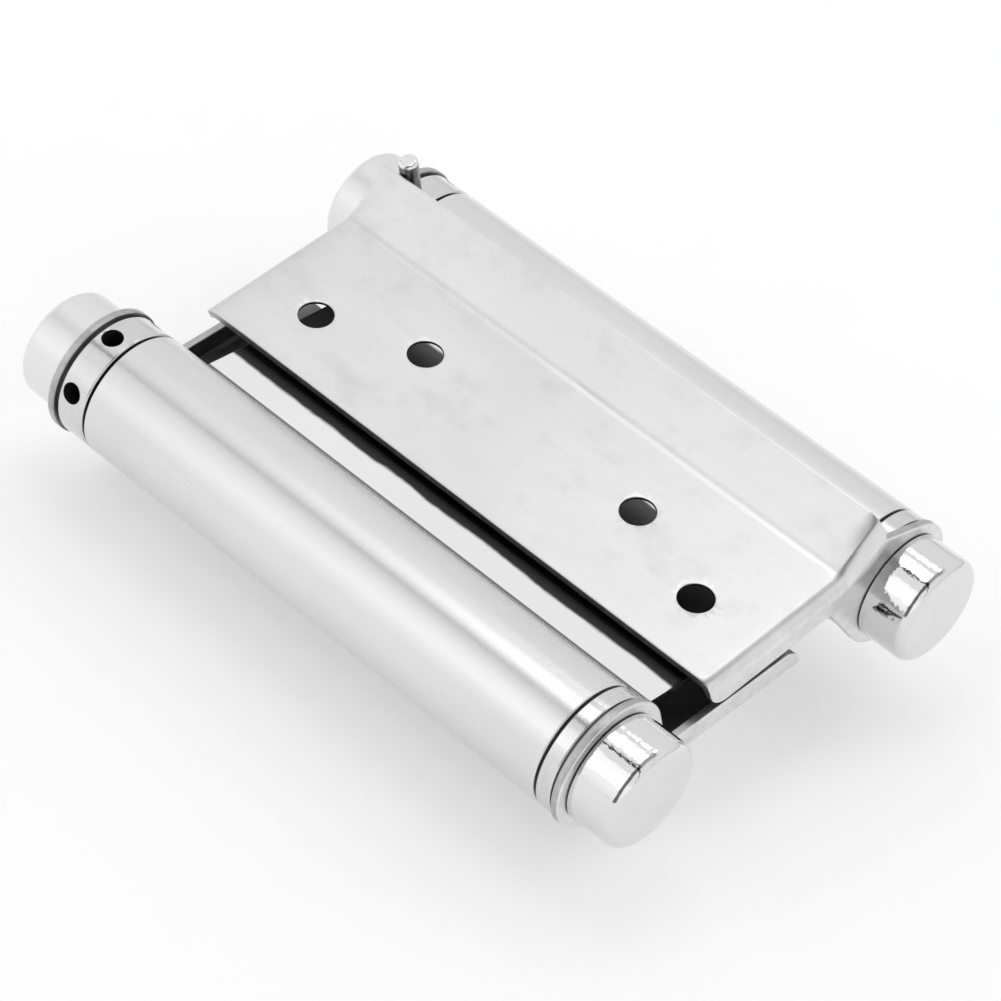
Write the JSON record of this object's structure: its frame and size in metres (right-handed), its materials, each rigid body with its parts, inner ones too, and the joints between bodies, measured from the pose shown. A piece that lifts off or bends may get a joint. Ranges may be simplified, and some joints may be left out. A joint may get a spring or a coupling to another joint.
{
  "type": "double action spring hinge",
  "caption": "Double action spring hinge: two pressed leaves on spring barrels joined by a flat web, with winding collars and tension pins.",
  "frame": {"origin": "midway between the two barrel axes and midway along the leaves", "axes": "+X from the left barrel to the right barrel, +Y along the barrels towards the winding collars, +Z normal to the web, on the upper leaf's side"},
  "size_m": [0.0822, 0.1158, 0.0349],
  "materials": {
    "body_steel": "satin stainless sheet, polished web",
    "leaf_steel": "fine brushed stainless sheet",
    "collar_steel": "turned and polished steel",
    "cap_chrome": "bright nickel or chrome plate",
    "spindle_steel": "drawn steel rod",
    "washer_steel": "plain steel washer",
    "pin_steel": "ground steel pin",
    "spring_steel": "oiled spring wire"
  },
  "bodies": {
    "centre": {"centre_body": "body_steel", "end_plug_right": "collar_steel", "end_plug_left": "collar_steel", "torsion_spring_right": "spring_steel", "torsion_spring_left": "spring_steel"},
    "upper_leaf": {"leaf_upper": "leaf_steel", "spindle_right": "spindle_steel", "cap_near_right": "cap_chrome", "cap_far_right": "cap_chrome", "washer_near_right": "washer_steel", "washer_far_right": "washer_steel"},
    "lower_leaf": {"leaf_lower": "leaf_steel", "spindle_left": "spindle_steel", "cap_near_left": "cap_chrome", "cap_far_left": "cap_chrome", "washer_near_left": "washer_steel", "washer_far_left": "washer_steel"},
    "right_collar": {"winding_collar_right": "collar_steel"},
    "left_collar": {"winding_collar_left": "collar_steel"},
    "right_pin": {"tension_pin_right": "pin_steel"},
    "left_pin": {"tension_pin_left": "pin_steel"}
  },
  "joints": [
    {"name": "upper_leaf_swing", "type": "hinge", "parent": "centre", "child": "upper_leaf", "pos_m": [0.031, 0, 0], "axis": [0, 1, 0], "range_deg": [0, 120], "stiffness_Nm_per_rad": 0.6, "springref_deg": -57.3, "deforming": ["torsion_spring_right"]},
    {"name": "right_collar_wind", "type": "hinge", "parent": "upper_leaf", "child": "right_collar", "pos_m": [0.031, 0, 0], "axis": [0, 1, 0], "range_deg": [0, 60], "deforming": ["torsion_spring_right"]},
    {"name": "right_pin_pull", "type": "slide", "parent": "right_collar", "child": "right_pin", "axis": [-0.3371, 0, 0.9415], "range_m": [0, 0.0046]},
    {"name": "lower_leaf_swing", "type": "hinge", "parent": "centre", "child": "lower_leaf", "pos_m": [-0.031, 0, 0], "axis": [0, 1, 0], "range_deg": [0, 120], "stiffness_Nm_per_rad": 0.6, "springref_deg": -57.3, "deforming": ["torsion_spring_left"]},
    {"name": "left_collar_wind", "type": "hinge", "parent": "lower_leaf", "child": "left_collar", "pos_m": [-0.031, 0, 0], "axis": [0, 1, 0], "range_deg": [0, 60], "deforming": ["torsion_spring_left"]},
    {"name": "left_pin_pull", "type": "slide", "parent": "left_collar", "child": "left_pin", "axis": [0.2756, 0, -0.9613], "range_m": [0, 0.0046]}
  ]
}
